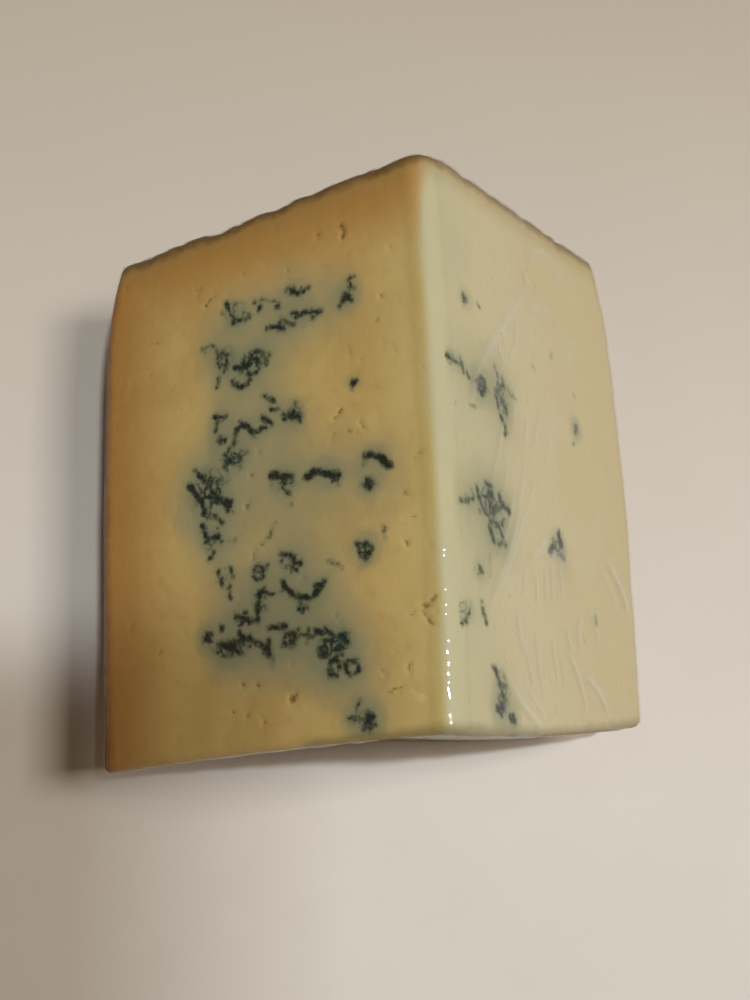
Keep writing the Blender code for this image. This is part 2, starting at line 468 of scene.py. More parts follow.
def worn(points):
    """The points of a skin once its rims are uneven."""
    across, along = across_of(points), along_of(points)
    side = np.where(points[:, 0] > SHARP_EDGE[0], across, -across)
    set_back = np.zeros(len(points))
    for place, deep, half_width in NOTCHES:
        set_back += deep * np.exp(-(((side - place) / half_width) ** 2))
    far_rim = HALF_LENGTH / MM + MIDDLE_ALONG + END_SLANT * points[:, 0] / MM
    near_far_rim = smooth(1 + (along - far_rim) / RIM_BAND)
    near_heel_edge = smooth(1 - abs(across - HEEL_EDGE) / RIM_BAND) * (points[:, 2] / MM > 12)
    for i in np.flatnonzero(near_far_rim + near_heel_edge):
        bump = noise.noise(Vector((side[i] / RIM_BUMP_LENGTH, 0, 3)))
        set_back[i] += RIM_BUMPS * max(0.0, bump) * 2
        swell = noise.noise(Vector((along[i] / 7, side[i] / 40, 6))) + 0.5 * noise.noise(Vector((along[i] / 2, 0, 8)))
        near_heel_edge[i] *= HEEL_BUMPS * max(0.0, swell)
    moved = points.copy()
    moved[:, 1] -= set_back * near_far_rim * MM
    moved[:, 0] -= np.sign(side) * near_heel_edge * MM
    return moved


# %% [markdown]
# ## The cheese
#
# The cheese fills the film, so its skin lies a quarter of a millimetre inside the solid. The points are less than
# half a millimetre apart on the cut faces, fine enough to hold the veins of mould and the small holes, and
# coarser on the rind, which lies underneath.

# %% Skin of the cheese
CHEESE_INSET = 0.25 * MM
CHEESE_PITCH = 0.46 * MM
CHEESE_STEPS = {"tip": 6, "left": 140, "corner": 6, "heel": 56, "right": 140}

body, ends, _ = wedge_skin(CHEESE_INSET, CHEESE_PITCH, CHEESE_STEPS, (38, 12))
cheese_mesh = skin_mesh("cheese", body, ends, CHEESE_STEPS)
cheese_points, cheese_normals = points_of(cheese_mesh)
across, along = across_of(cheese_points), along_of(cheese_points)
on_left = (cheese_normals[:, 0] < -0.3) & (cheese_normals[:, 2] > 0.3)
on_right = (cheese_normals[:, 0] > 0.3) & (cheese_normals[:, 2] > 0.3)
print("cheese points:", len(cheese_points), "quads:", len(cheese_mesh.polygons))

# %% [markdown]
# ## Blue mould
#
# Blue mould grows where air reaches it: along the channels of the piercing needles and in the small gaps between
# lumps of curd. A cut shows those gaps as rings, hooks, cracks and blots a few millimetres across, dark where the
# spores are ripe, with a grey-green breath round them.
#
# The eye knows a cheese by where its veins are, so the clearest ones are listed one by one, each by its kind, its
# middle, its size and the way it runs. How each one wanders is left to chance from a fixed seed. A shader alone
# could make veins, but not put them anywhere in particular.

# %% How each kind of vein runs
VEIN_STEP = 0.35  # millimetres between the dots that make up a line of mould
VEIN_KINDS = {
    # kind: (arms, length for each mm of size, share of a full turn that an arm bends, half width in mm, sway)
    "streak": (1, 1.0, 0.0, 0.24, 22),
    "bar": (1, 1.0, 0.02, 0.38, 12),
    "hair": (1, 1.0, 0.04, 0.12, 18),
    "dash": (1, 1.0, 0.0, 0.26, 14),
    "ring": (1, 3.1, 0.95, 0.20, 14),
    "smile": (1, 1.35, -0.30, 0.28, 8),
    "bowl": (1, 1.35, 0.30, 0.24, 8),
    "star": (4, 0.5, 0.10, 0.24, 24),
    "blot": (6, 0.45, 0.25, 0.24, 34),
    "dot": (3, 0.3, 0.2, 0.24, 30),
}
KEEPS_SWAY = 0.75  # share of its sway that a line keeps from one dot to the next
CRUMBS = 0.3  # small spots beside a vein, for each dot of its line
CRUMB_REACH = 0.5


def vein_dots(kind, across, along, size, turn, chance):
    """Dots that make up one vein, as rows of (across, along, half width). Turn is from down the face towards the
    far end, in degrees."""
    arms, length, bend, half_width, sway = VEIN_KINDS[kind]
    rows = []
    for arm in range(arms):
        start = turn + (arm * 360 / arms + chance.uniform(-30, 30) if arms > 1 else 0)
        reach = length * size * (chance.uniform(0.6, 1.1) if arms > 1 else 1)
        steps = max(1, round(reach / VEIN_STEP))
        spots = [np.zeros(2)]
        swayed = 0.0
        for i in range(steps):
            swayed = KEEPS_SWAY * swayed + chance.gauss(0, sway)
            way = math.radians(start + 360 * bend * (i + 0.5) / steps + swayed)
            spots.append(spots[-1] + VEIN_STEP * np.array((math.cos(way), math.sin(way))))
        line_middle = np.mean(spots, axis=0) if arms == 1 else np.zeros(2)
        rows += [(*(spot - line_middle), half_width * chance.uniform(0.5, 1.4)) for spot in spots]
    crumbs = []
    for down, forth, _ in rows:
        if chance.random() < CRUMBS:
            off = (chance.gauss(0, CRUMB_REACH), chance.gauss(0, CRUMB_REACH))
            crumbs.append((down + off[0], forth + off[1], chance.uniform(0.02, 0.18)))
    return np.array(rows + crumbs) + np.array((across, along, 0))


# %% The veins of the left cut face
# kind, millimetres down from the sharp edge, millimetres along towards the far end, size in mm, turn in degrees,
# strength
LEFT_VEINS = [
    ("streak", 40.6, 28.3, 5.0, -105, 0.9), ("streak", 38.1, 26.4, 3.4, 153, 0.9), ("dot", 34.2, 27.6, 1.6, 0, 0.9),
    ("dot", 30.4, 26.8, 1.5, 0, 0.9), ("hair", 32.5, 28.5, 3.4, -170, 0.6), ("dash", 26.9, 28.6, 2.4, -115, 1.0),
    ("dash", 25.1, 28.4, 2.6, 163, 0.8), ("blot", 16.5, 25.0, 2.4, 0, 1.0), ("hair", 15.5, 27.2, 2.6, -76, 0.7),
    ("streak", 24.6, 24.3, 6.4, 178, 1.0), ("streak", 28.6, 23.6, 3.6, 150, 0.9), ("dash", 31.0, 23.2, 3.4, 2, 1.0),
    ("hair", 45.8, 23.1, 3.0, 160, 0.7), ("ring", 42.6, 19.9, 2.6, 0, 0.9), ("bar", 38.2, 17.9, 3.2, 3, 1.1),
    ("ring", 35.4, 18.2, 3.2, 0, 1.1), ("smile", 38.7, 14.8, 3.4, -125, 1.0), ("dash", 43.7, 16.2, 1.8, -97, 0.8),
    ("dash", 32.4, 10.9, 2.0, -163, 0.9), ("dash", 31.6, 8.8, 1.5, -169, 0.8), ("star", 28.2, 7.2, 4.4, 20, 1.0),
    ("streak", 33.4, 7.4, 2.4, -100, 1.0), ("streak", 36.8, 6.5, 7.0, -1, 1.0), ("streak", 41.0, 4.6, 5.0, -57, 0.9),
    ("dash", 43.4, 9.9, 2.6, 11, 1.0), ("dash", 44.2, 8.6, 2.4, -89, 0.8), ("blot", 43.3, 5.7, 2.2, 0, 0.9),
    ("blot", 41.8, 1.8, 3.4, 0, 0.9), ("streak", 39.2, 1.8, 3.0, 4, 0.9), ("dot", 15.7, 10.1, 2.0, 0, 0.9),
    ("bar", 30.6, -2.7, 4.6, 7, 1.3), ("dot", 30.4, -4.2, 2.4, 0, 0.8), ("dot", 29.4, -5.8, 1.6, 0, 0.7),
    ("bar", 22.5, -3.7, 6.5, 1, 1.1), ("ring", 19.9, -4.4, 1.6, 0, 0.6), ("dash", 13.2, -2.3, 2.2, 8, 1.0),
    ("dash", 14.1, -2.8, 1.3, 121, 0.7), ("bar", 10.8, -3.6, 2.8, 24, 1.1), ("blot", 13.7, -6.7, 2.6, 0, 1.1),
    ("streak", 46.9, -1.0, 5.1, -119, 1.0), ("bar", 43.6, -4.7, 5.4, -146, 1.2), ("bar", 48.5, -3.9, 6.5, -129, 1.1),
    ("hair", 44.8, -7.7, 4.3, 4, 1.1), ("dash", 45.6, -1.6, 1.4, -99, 0.8), ("dash", 41.6, -6.0, 1.6, -70, 0.9),
    ("streak", 47.2, -10.1, 3.0, -118, 1.0), ("dash", 45.2, -11.2, 2.6, 176, 1.0), ("dot", 43.6, -12.2, 1.2, 0, 0.6),
    ("dash", 45.7, -14.2, 1.3, -65, 0.9), ("dash", 41.2, -12.1, 1.4, -165, 0.4), ("dash", 43.9, -18.2, 2.4, -109, 0.8),
    ("dash", 41.4, -17.4, 1.8, -111, 0.7), ("dash", 41.8, -20.8, 2.2, -95, 0.7), ("ring", 35.8, -18.2, 2.0, 0, 0.9),
    ("dash", 32.7, -11.5, 2.4, -78, 0.4), ("dash", 34.0, -12.9, 2.2, -15, 0.3), ("streak", 29.8, -16.1, 2.8, -128, 1.0),
    ("dash", 28.1, -17.4, 1.9, 12, 1.0), ("dash", 28.7, -18.2, 1.6, -88, 0.9), ("smile", 27.0, -22.4, 7.2, -115, 1.4),
    ("dash", 23.4, -21.4, 1.6, 167, 0.9), ("blot", 27.2, -24.7, 2.4, 0, 0.7), ("streak", 34.6, -21.7, 4.0, 6, 0.9),
    ("bar", 36.0, -23.7, 4.2, -95, 0.8), ("star", 39.3, -25.3, 2.8, 0, 1.1), ("hair", 36.9, -26.0, 2.6, 13, 0.9),
    ("dash", 32.1, -27.5, 3.4, 177, 1.1), ("blot", 46.8, -28.0, 1.8, 0, 1.0), ("dot", 43.7, -26.7, 1.2, 0, 0.8),
    ("bar", 42.6, -29.8, 4.0, 5, 1.1), ("dash", 40.8, -29.2, 2.2, 134, 1.0), ("bar", 38.9, -28.6, 2.6, 5, 1.2),
    ("dash", 40.4, -30.7, 2.6, 25, 0.9), ("blot", 42.4, -31.0, 2.6, 0, 0.6), ("streak", 35.3, -30.2, 3.2, 167, 1.0),
    ("dash", 33.9, -30.7, 2.0, -74, 1.0), ("hair", 33.2, -32.6, 2.8, -139, 0.5), ("ring", 29.7, -29.7, 2.2, 0, 0.9),
    ("dot", 29.7, -29.5, 1.8, 0, 0.9), ("hair", 26.2, -29.3, 3.2, 170, 1.0), ("streak", 22.0, -29.4, 5.6, 9, 1.2),
    ("dot", 19.6, -30.6, 2.0, 0, 1.1), ("ring", 23.3, -32.1, 1.9, 0, 1.2), ("dot", 23.3, -32.1, 1.4, 0, 1.1),
    ("dash", 20.3, -32.0, 3.2, -80, 1.1), ("ring", 21.5, -34.6, 1.9, 0, 1.1), ("ring", 18.2, -34.8, 2.0, 0, 1.0),
    ("ring", 14.9, -17.1, 2.2, 0, 1.1), ("dash", 15.6, -16.2, 1.6, 20, 0.9), ("dash", 20.5, -18.6, 2.8, -131, 0.35),
    ("dash", 11.3, -14.8, 1.8, -61, 0.4), ("blot", 15.6, -43.0, 3.2, 0, 1.5), ("blot", 18.3, -42.7, 2.0, 0, 0.5),
    ("dash", 17.2, -40.8, 1.8, -80, 0.6),
]

# %% The veins of the right cut face
RIGHT_VEINS = [
    ("blot", 9.7, 23.5, 1.8, 0, 0.7), ("dot", 14.4, 23.8, 1.0, 0, 0.4), ("bar", 4.2, 11.8, 3.4, -12, 0.7),
    ("dash", 7.4, 11.6, 2.0, 100, 0.8), ("dash", 9.2, 10.2, 1.4, -40, 0.7), ("ring", 13.4, 9.6, 2.8, 0, 1.1),
    ("dot", 13.0, 9.6, 1.8, 0, 1.2), ("streak", 19.6, 10.4, 4.4, -112, 0.9), ("dash", 18.6, 8.0, 2.2, -100, 1.0),
    ("dash", 21.2, 7.6, 2.6, -70, 1.0), ("hair", 24.0, 10.4, 3.2, -50, 0.6), ("hair", 19.0, 12.6, 4.0, 60, 0.7),
    ("smile", 20.4, 4.2, 2.4, -20, 0.9), ("dash", 10.2, 5.4, 1.8, 20, 0.5), ("dash", 13.6, -6.9, 1.8, -10, 0.9),
    ("streak", 6.6, -10.4, 5.0, 15, 0.8), ("bowl", 12.0, -10.6, 5.6, -75, 1.1), ("dash", 16.4, -10.4, 3.0, 50, 0.9),
    ("streak", 14.0, -9.2, 3.6, -80, 0.8), ("dash", 13.2, -8.4, 2.0, 60, 0.9), ("bar", 18.4, -9.6, 3.4, -34, 1.1),
    ("dash", 17.6, -8.6, 1.6, -60, 0.9), ("ring", 15.1, -14.1, 3.0, 0, 0.9), ("dash", 13.6, -15.0, 2.4, -50, 1.0),
    ("dot", 17.6, -12.6, 1.2, 0, 1.0), ("dot", 17.4, -15.6, 1.0, 0, 0.9), ("blot", 9.2, -21.1, 2.0, 0, 0.7),
    ("hair", 12.4, -20.0, 4.0, -100, 0.3), ("streak", 4.2, -28.6, 4.0, -110, 0.7), ("dash", 9.8, -28.1, 2.6, -61, 0.8),
    ("streak", 13.3, -38.0, 4.6, -79, 1.0), ("blot", 13.4, -42.0, 2.6, 0, 1.2), ("blot", 16.7, -43.6, 2.0, 0, 1.2),
    ("bar", 35.2, -14.8, 2.6, 30, 1.0), ("bar", 38.4, -13.0, 2.6, -65, 1.0), ("dash", 38.6, -15.8, 2.6, -15, 0.9),
    ("blot", 49.5, 9.4, 2.8, 80, 0.6), ("dash", 47.5, 6.4, 1.2, 0, 0.3), ("blot", 51.1, -26.3, 2.0, 0, 0.35),
    ("dot", 33, 18, 1.6, 0, 0.15), ("blot", 41, 22, 3, 0, 0.12), ("dot", 50, 16, 2, 0, 0.12),
]

# %% Patches where the mould runs through all the gaps between the curds
# millimetres down and along, reach down and along in mm, strength
LEFT_PATCHES = [
    (39.5, 28.0, 3.4, 3.4, 0.8), (41.5, 19.8, 3.4, 3.4, 0.8), (36.4, 17.8, 3.6, 3.0, 1.0),
    (27.4, 7.1, 2.6, 2.0, 0.9), (40.3, 2.2, 4.0, 2.2, 0.9), (45.9, -3.0, 5.2, 5.0, 1.0),
    (30.2, -3.8, 3.2, 1.8, 1.0), (13.7, -6.7, 2.2, 1.6, 0.9), (45.9, -11.4, 2.6, 3.0, 0.8),
    (42.9, -18.6, 3.2, 3.0, 0.6), (35.8, -18.2, 1.8, 1.6, 0.8), (29.6, -17.2, 2.4, 2.2, 0.8),
    (26.9, -24.4, 2.2, 1.6, 0.6), (35.4, -23.6, 2.6, 3.4, 0.8), (41.8, -30.0, 5.0, 2.2, 1.0),
    (34.1, -30.6, 2.2, 1.8, 0.8), (29.7, -29.7, 2.6, 2.0, 0.9), (21.4, -31.2, 4.2, 3.2, 1.0),
    (19.1, -34.4, 3.0, 1.8, 0.8), (16.0, -42.5, 2.4, 1.8, 0.9), (26.0, 28.2, 2.4, 1.4, 0.6),
    (16.4, 24.9, 1.8, 1.8, 1.0), (26.8, 23.9, 6.0, 1.6, 0.6),
]
RIGHT_PATCHES = [
    (13.4, 9.6, 2.4, 2.2, 0.9), (20.6, 8.7, 2.6, 4.2, 0.9), (4.5, 12.4, 2.4, 1.8, 0.7),
    (13.5, -9.5, 4.4, 3.2, 1.0), (15.1, -14.1, 2.6, 2.4, 0.9), (8.0, -21.2, 3.0, 3.0, 0.55),
    (4.3, -27.6, 3.6, 2.6, 0.7), (14.1, -40.0, 2.8, 4.6, 0.9), (37.0, -14.0, 3.0, 2.4, 0.9),
    (48.6, 9.2, 2.6, 2.8, 0.5), (51.1, -26.3, 2.8, 3.0, 0.3),
]

# %% Lay the mould on the cheese
BREATH = 2.7  # millimetres that the grey-green breath reaches round a vein
BREATH_FILL = 0.26  # how quickly it builds up where veins crowd
BLOOM = 7.0  # and the much fainter one that reaches round whole groups of veins
BLOOM_FILL = 0.085
FAR_FROM_VEIN = 8.0

chance = random.Random(11)
vein = np.full(len(cheese_points), FAR_FROM_VEIN)
crowding, company = np.zeros((2, len(cheese_points)))
dot_total = 0
for veins, on_face in ((LEFT_VEINS, on_left), (RIGHT_VEINS, on_right)):
    for kind, down, forth, size, turn, strength in veins:
        dots = vein_dots(kind, down, forth, size, turn, chance)
        close = on_face & (np.abs(across - down) < size + 9) & (np.abs(along - forth) < size + 9)
        number = np.flatnonzero(close)
        spots = np.stack((across[number], along[number]), axis=1)
        gaps = np.linalg.norm(spots[:, None, :] - dots[None, :, :2], axis=2)
        weak = 0.55 * (1 - min(1.0, strength))
        edge = (gaps - dots[None, :, 2] * min(1.25, 0.6 + 0.4 * strength)).min(axis=1) + weak
        vein[number] = np.minimum(vein[number], edge)
        crowding[number] += strength * (np.exp(-((gaps / BREATH) ** 2)) * VEIN_STEP).sum(axis=1)
        away = np.hypot(across - down, along - forth)
        company += on_face * strength * size * np.exp(-((away / BLOOM) ** 2))
        dot_total += len(dots)
stain = 1 - np.exp(-BREATH_FILL * crowding)
bloom = 1 - np.exp(-BLOOM_FILL * company)
patch = np.zeros(len(cheese_points))
for patches, on_face in ((LEFT_PATCHES, on_left), (RIGHT_PATCHES, on_right)):
    for down, forth, reach_down, reach_forth, strength in patches:
        gone = ((across - down) / reach_down) ** 2 + ((along - forth) / reach_forth) ** 2
        patch = np.maximum(patch, on_face * strength * np.exp(-0.8 * gone**1.5))
print("patches:", len(LEFT_PATCHES) + len(RIGHT_PATCHES))
print("veins:", len(LEFT_VEINS) + len(RIGHT_VEINS), "dots:", dot_total)

# %% [markdown]
# ## Small holes
#
# The paste also has small open holes and short cracks, where whey and gas left the curd. They show as tan and olive
# specks, since little light comes back out of them. The larger ones are listed like the veins, and small
# ones are strewn from a fixed seed. Holes and veins are dented into the skin as well as coloured.

# %% Holes by hand and by chance
LEFT_HOLES = [
    ("dot", 47.9, 34.2, 2.6, 0, 1.1), ("dash", 45.6, 31.6, 2.2, -30, 0.8), ("dash", 16.6, 36.5, 2.4, 80, 1.5),
    ("dot", 21.5, 37.2, 1.8, 0, 0.9), ("dot", 28, 32.7, 1.6, 0, 0.5), ("dot", 9.8, 23.6, 1.8, 40, 0.8),
    ("dot", 11.0, 19.6, 1.6, 90, 0.7), ("hair", 9.5, 15.5, 1.8, 0, 0.9), ("hair", 16.3, 15.2, 1.8, -123, 1.1),
    ("dash", 19.2, 5.6, 1.8, 150, 1.2), ("hair", 14.5, 3.0, 2.2, -76, 1.0), ("hair", 17.3, 2.3, 5.2, 7, 0.9),
    ("hair", 20.3, 2.0, 1.8, -61, 0.9), ("dot", 52.2, 30, 1.4, 0, 0.4), ("dash", 51.6, 13.2, 2.4, 0, 0.6),
    ("dot", 55, 17, 1.4, 0, 0.3), ("dot", 37.8, -6.5, 1.8, 0, 1.1), ("hair", 36.9, -15.3, 1.6, -119, 1.2),
    ("hair", 20.4, -27.2, 2.4, 0, 0.8), ("hair", 5.5, -26.8, 5.4, 171, 1.3), ("dash", 4.0, -26.2, 2.4, 150, 1.0),
    ("dash", 4.5, -28.6, 2.4, -120, 1.0), ("hair", 10.7, -38.6, 4.0, 173, 1.2), ("dot", 36.5, -36.4, 1.8, 0, 1.1),
    ("dot", 38.5, -40.9, 1.6, 0, 1.0), ("dot", 35.1, -42.3, 1.4, 0, 0.9), ("blot", 29.4, -39.1, 2.4, 80, 1.1),
    ("dot", 36.8, -1.6, 1.3, 0, 0.9), ("dash", 4.8, -3.4, 2.6, 150, 0.8), ("dash", 7.6, -9.4, 2, 10, 0.7),
    ("dash", 6.8, -13, 1.8, 0, 0.6), ("dot", 7.6, -16.8, 1.8, 0, 0.9), ("dash", 3.4, -18, 1.6, 90, 0.6),
    ("dash", 9.4, -32.6, 2.6, 20, 0.6), ("dash", 8, -35.8, 2.2, 100, 0.7), ("dot", 35.4, 2.2, 1.4, 0, 0.9),
    ("dot", 38.8, -10.3, 1.4, 0, 0.7), ("dot", 44.6, -36.0, 2.2, 0, 0.4), ("dot", 27, -20.2, 1.3, 0, 0.8),
    ("dash", 12.6, -36.0, 1.6, 60, 0.6),
]
RIGHT_HOLES = [("dot", 20.2, -2.6, 1.6, 0, 0.5), ("dot", 44, -20, 1.8, 0, 0.3)]
STRAY_HOLES = 200
STRAY_SIZE = (0.3, 0.8)

hole = np.full(len(cheese_points), FAR_FROM_VEIN)
strays = []
for _ in range(STRAY_HOLES):
    place = (chance.uniform(1, 66), chance.uniform(-44, 42))
    strays.append(("dot", *place, chance.uniform(*STRAY_SIZE), 0, chance.uniform(0.1, 0.6)))
for holes, on_face in ((LEFT_HOLES + strays[::2], on_left), (RIGHT_HOLES + strays[1::2], on_right)):
    for kind, down, forth, size, turn, strength in holes:
        dots = vein_dots(kind, down, forth, size, turn, chance)
        number = np.flatnonzero(on_face & (np.hypot(across - down, along - forth) < size + 3))
        if not len(number):
            continue
        spots = np.stack((across[number], along[number]), axis=1)
        gaps = np.linalg.norm(spots[:, None, :] - dots[None, :, :2], axis=2)
        edge = (gaps - dots[None, :, 2]).min(axis=1) + 0.45 * (1 - min(1.0, strength))
        hole[number] = np.minimum(hole[number], edge)
print("holes:", len(LEFT_HOLES) + len(RIGHT_HOLES) + STRAY_HOLES)

# %% Dent the skin
HOLE_DEPTH = 0.30
VEIN_DEPTH = 0.10
ROUGH_DEPTH = 0.05


def dent(edge, width):
    """1 well inside an edge, 0 well outside it."""
    share = np.clip(0.5 - edge / width, 0, 1)
    return share * share * (3 - 2 * share)


depth = np.maximum(HOLE_DEPTH * dent(hole, 0.7), VEIN_DEPTH * dent(vein, 0.7))
rough = np.array([noise.noise(Vector(point) / (1.6 * MM)) for point in cheese_points])
depth = depth + ROUGH_DEPTH * (0.5 + 0.5 * rough)
cheese_points = worn(cheese_points - cheese_normals * depth[:, None] * MM)
cheese_points[:, 2] = np.maximum(cheese_points[:, 2], CHEESE_INSET)
write_points(cheese_mesh, cheese_points)
print("deepest dent, mm:", round(float(depth.max()), 2))

# %% How far each point lies from the rind and the rims
# The warm band where the paste is drying by the rind reaches much further into the left face than into the right.
# It is partly real drying and partly painted shade, because the left face lies in half shade. The rind band is also
# narrower on the right face.
under_heel = CHEESE_RADIUS / MM - BARREL / MM * (along / 46) ** 2 - across
under_heel = under_heel - SHOULDER / MM * np.clip((along / 46 - SHOULDER_START) / (1 - SHOULDER_START), 0, 1) ** 3
far_end = HALF_LENGTH / MM + MIDDLE_ALONG + END_SLANT * cheese_points[:, 0] / MM
far_end = far_end + END_STEP / MM * smooth(cheese_points[:, 0] / END_STEP_WIDTH)
under_end = far_end - along
rind = np.maximum(0, np.minimum(under_heel, under_end))
beside = beside_of(cheese_points)
right_side_share = smooth((beside + 2) / 5)
dry_and_shaded = rind + right_side_share * (5 + 2.5 * rind)
rind = rind + right_side_share * (0.6 + rind)
# Painted shade: distance from the near rim, along which the paste is drawn darker for the shaded strip under that rim.
# The distance is pushed up on the outer part of the left face, so no shade is drawn there.
near_end = along + HALF_LENGTH / MM - MIDDLE_ALONG + 40 * smooth((-beside - 26) / 20)
shares = np.clip(beside / 70, -1, 1)
near_end = near_end + NEAR_BELLY / MM * 4 * np.maximum(0, shares) * (1 - shares) - FOOT_DROOP / MM * np.minimum(0, shares)
for name, values in (
    ("across", across),
    ("beside", beside),
    ("past edge", np.where(beside > 0, beside, -5 * beside)),
    ("rind", rind),
    ("dry_and_shaded", dry_and_shaded),
    ("far rim", under_end),
    ("near rim", near_end),
    ("vein", vein),
    ("stain", stain),
    ("bloom", bloom),
    ("patch", patch),
    ("hole", hole),
):
    write_layer(cheese_mesh, name, values)
print("points on the rind:", int((rind < 0.5).sum()))

# %% [markdown]
# ## The finish of the cheese
#
# Ripe blue cheese is a moist ivory paste: matt, a little uneven, warmer and darker towards the rind, where it is
# drier. On the left face, which lies in half shade, that warm band is drawn wider as painted shade. The paste is
# also drawn paler near the sharp edge, as a painted glow of light through the thin edge, and darker along the near
# rim, as painted shade. The rind itself is a natural one, a thin tan and brown skin. The layers kept at the points
# say how far each point is from a vein, a hole and the rind, and the material turns these distances into colour.
# Fine noise is added to each distance first, so that the edge of the mould is ragged at a scale finer than the mesh.

# %% Where the cheese material reads its layers
CURD = 2.3  # width in millimetres of the lumps of curd that the mould runs round

cheese_finish, tree, output = new_material("ripened_blue_cheese_paste")
layer = {
    name: add(tree, "Attribute", attribute_name=name).outputs["Fac"]
    for name in (
        "across", "beside", "past edge", "rind", "dry_and_shaded", "far rim", "near rim", "vein", "stain", "bloom", "patch", "hole"
    )
}
place = add(tree, "TexCoord").outputs["Object"]
sizes = {"clouds": (14, 3.0), "curds": (2.6, 4.0), "crumble": (1.1, 3.0), "grain": (0.55, 2.0)}
texture = {}
for name, (millimetres, detail) in sizes.items():
    inputs = {"Vector": place, "Scale": 1 / (millimetres * MM), "Detail": detail}
    texture[name] = add(tree, "TexNoise", inputs).outputs[0]
print("layers:", ", ".join(layer), "textures:", ", ".join(texture))

# %% Distances that wander
# Each distance is shifted by a texture that varies round a half, times an amount in millimetres.
WANDERS = [
    # distance, texture, amount
    ("dry_and_shaded", "clouds", 8.0, "dried_and_shaded"),
    ("past edge", "clouds", 34.0, "milky"),
    ("beside", "clouds", 90.0, "buttery"),
    ("rind", "curds", 1.6, "rind edge"),
    ("far rim", "curds", 2.4, "far rim edge"),
    ("near rim", "curds", 1.6, "near rim shade edge"),
    ("vein", "crumble", 0.95, "vein bent"),
    ("vein bent", "grain", 0.28, "vein edge"),
    ("hole", "crumble", 0.8, "hole edge"),
    ("stain", "curds", 0.30, "stain edge"),
    ("bloom", "clouds", 0.60, "bloom edge"),
]
for distance, name, amount, result in WANDERS:
    shift = add(tree, "Math", {0: texture[name], 1: 0.5}, operation="SUBTRACT").outputs[0]
    inputs = {0: shift, 1: amount, 2: layer[distance]}
    layer[result] = add(tree, "Math", inputs, operation="MULTIPLY_ADD").outputs[0]

# %% Gaps between the curds
# A Voronoi texture gives the distance to the nearest wall between cells, here bent by noise, so that the cells look
# like pressed lumps. Mould fills a wall only inside a patch.
bends = add(tree, "TexNoise", {"Vector": place, "Scale": 1 / (1.8 * MM), "Detail": 2.0}).outputs["Color"]
bend = add(tree, "VectorMath", {0: bends, 1: (0.5, 0.5, 0.5)}, operation="SUBTRACT").outputs[0]
bend = add(tree, "VectorMath", {0: bend, "Scale": 2.6 * MM}, operation="SCALE").outputs[0]
bent_place = add(tree, "VectorMath", {0: place, 1: bend}, operation="ADD").outputs[0]
cells = add(tree, "TexVoronoi", {"Vector": bent_place, "Scale": 1 / (CURD * MM)}, feature="DISTANCE_TO_EDGE")
outside = add(tree, "Math", {0: layer["patch"], 1: -1.7, 2: 1.5}, operation="MULTIPLY_ADD").outputs[0]
wall = add(tree, "Math", {0: cells.outputs[0], 1: CURD, 2: outside}, operation="MULTIPLY_ADD").outputs[0]
shift = add(tree, "Math", {0: texture["crumble"], 1: 0.5}, operation="SUBTRACT").outputs[0]
wall = add(tree, "Math", {0: shift, 1: 1.1, 2: wall}, operation="MULTIPLY_ADD").outputs[0]
layer["mould"] = add(tree, "Math", {0: layer["vein edge"], 1: wall, 2: 0.25}, operation="SMOOTH_MIN").outputs[0]

# %% Coats of colour, from the paste to the ripe mould
ripe = linear("1F2A22")
RIPE_TINTS = [
    # colour, texture, none at, full at
    ("1B3034", texture["curds"], 0.48, 0.62),
    ("332B22", texture["clouds"], 0.54, 0.66),
]
for code, decides, none_at, full_at in RIPE_TINTS:
    inputs = {"Value": decides, "From Min": none_at, "From Max": full_at}
    share = add(tree, "MapRange", inputs, interpolation_type="SMOOTHSTEP").outputs[0]
    ripe = add(tree, "Mix", {0: share, 6: ripe, 7: linear(code)}, data_type="RGBA").outputs[2]

COATS = [
    # colour, what decides where, none at, full at, share at full
    (linear("C9A862"), texture["clouds"], 0.38, 0.62, 0.7),
    (linear("BF9E5A"), texture["curds"], 0.52, 0.75, 0.40),
    # painted glow: paler paste near the sharp edge, for light shining through the thin edge
    (linear("E0CB88"), layer["across"], 16, 5, 0.45),
    (linear("A8985A"), layer["beside"], -6.0, -2.2, 0.60),
    (linear("D3CCAC"), layer["beside"], -2.9, -0.2, 0.58),
    (linear("CDB67E"), layer["buttery"], 28, 62, 0.36),
    (linear("AFAF8C"), layer["milky"], 19, 0, 0.46),
    # warm brown band by the rind: partly drying, partly painted shade on the half-shaded left face
    (linear("B47A2C"), layer["dried_and_shaded"], 20, 1, 0.80),
    (linear("A3A07A"), layer["bloom edge"], 0.15, 0.85, 0.80),
    (linear("8E9272"), layer["stain edge"], 0.30, 1.0, 0.65),
    (linear("838B74"), layer["patch"], 0.35, 1.0, 0.45),
    (linear("78805F"), layer["mould"], 0.95, 0.2, 0.50),
    (linear("444D3C"), layer["mould"], 0.50, 0.02, 0.8),
    (ripe, layer["mould"], 0.22, -0.18, 1.0),
    (linear("6E5426"), layer["hole edge"], 0.18, -0.25, 0.80),
    (linear("8C4E18"), layer["rind edge"], 3.4, 0.4, 0.85),
    (linear("5E4222"), layer["rind edge"], 0.8, 0.1, 1.0),
    (linear("A08A52"), layer["far rim edge"], 7.0, 1.8, 0.45),
    (linear("5C4826"), layer["far rim edge"], 3.0, 1.0, 0.70),
    # painted shade along the near rim
    (linear("857748"), layer["near rim shade edge"], 3.0, 0.8, 0.60),
]
colour = linear("D9BB74")
for over, decides, none_at, full_at, top in COATS:
    inputs = {"Value": decides, "From Min": none_at, "From Max": full_at, "To Min": 0.0, "To Max": top}
    share = add(tree, "MapRange", inputs, interpolation_type="SMOOTHSTEP").outputs[0]
    colour = add(tree, "Mix", {0: share, 6: colour, 7: over}, data_type="RGBA").outputs[2]

